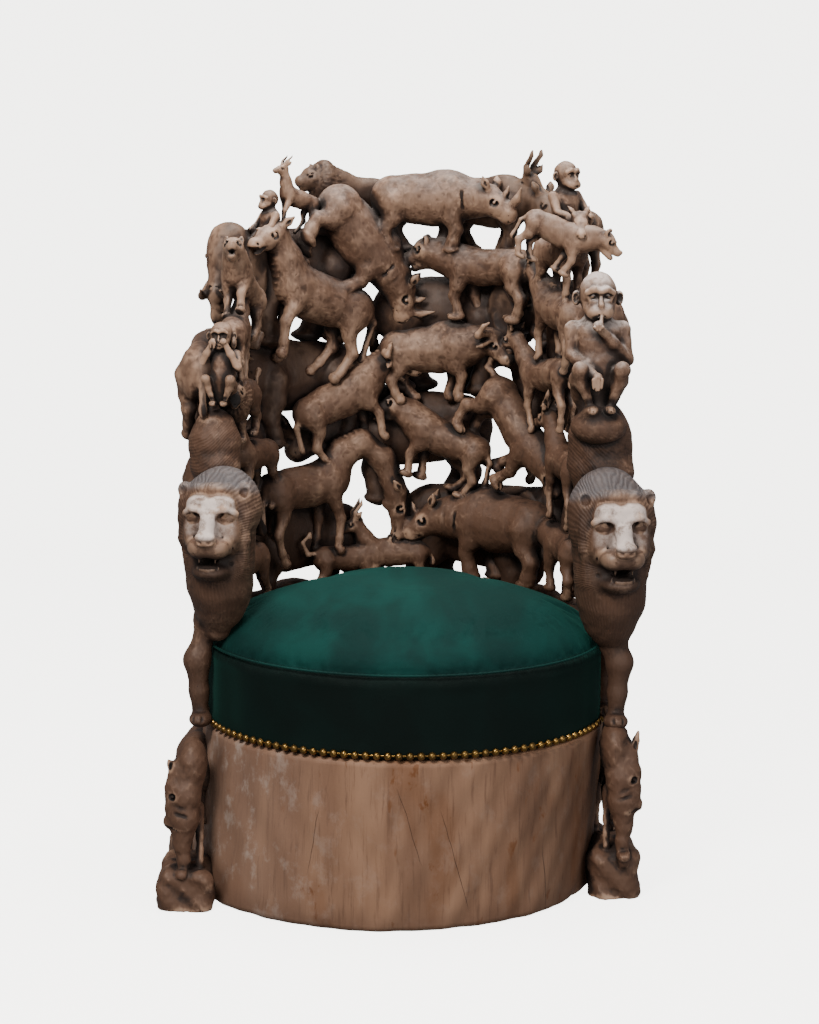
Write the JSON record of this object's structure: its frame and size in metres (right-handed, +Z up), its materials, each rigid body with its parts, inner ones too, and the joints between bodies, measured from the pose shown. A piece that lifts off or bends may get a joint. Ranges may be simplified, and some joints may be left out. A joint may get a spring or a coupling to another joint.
{
  "type": "carved animal throne",
  "caption": "Throne cut from one tree trunk: a plain round drum seat with a domed velvet cushion, an openwork horseshoe back of carved animals and a maned lion at each arm.",
  "frame": {"origin": "middle of the drum's underside, on the floor under the trunk's axis at seat height", "axes": "+Z up, -Y towards the front, where the sitter faces, +X towards the right-hand side as seen from the front"},
  "size_m": [0.8251, 0.7617, 1.2044],
  "materials": {
    "wood": "hand-carved hardwood, oiled and worn, pale on the high spots and dark brown in the hollows",
    "velvet": "short-pile green velvet",
    "brass": "antiqued brass with worn bright crowns"
  },
  "bodies": {
    "root": {"carved_trunk": "wood", "seat_cushion": "velvet", "nail_trim": "brass", "trim_nail_01": "brass", "trim_nail_02": "brass", "trim_nail_03": "brass", "trim_nail_04": "brass", "trim_nail_05": "brass", "trim_nail_06": "brass", "trim_nail_07": "brass", "trim_nail_08": "brass", "trim_nail_09": "brass", "trim_nail_10": "brass", "trim_nail_11": "brass", "trim_nail_12": "brass", "trim_nail_13": "brass", "trim_nail_14": "brass", "trim_nail_15": "brass"}
  },
  "joints": []
}
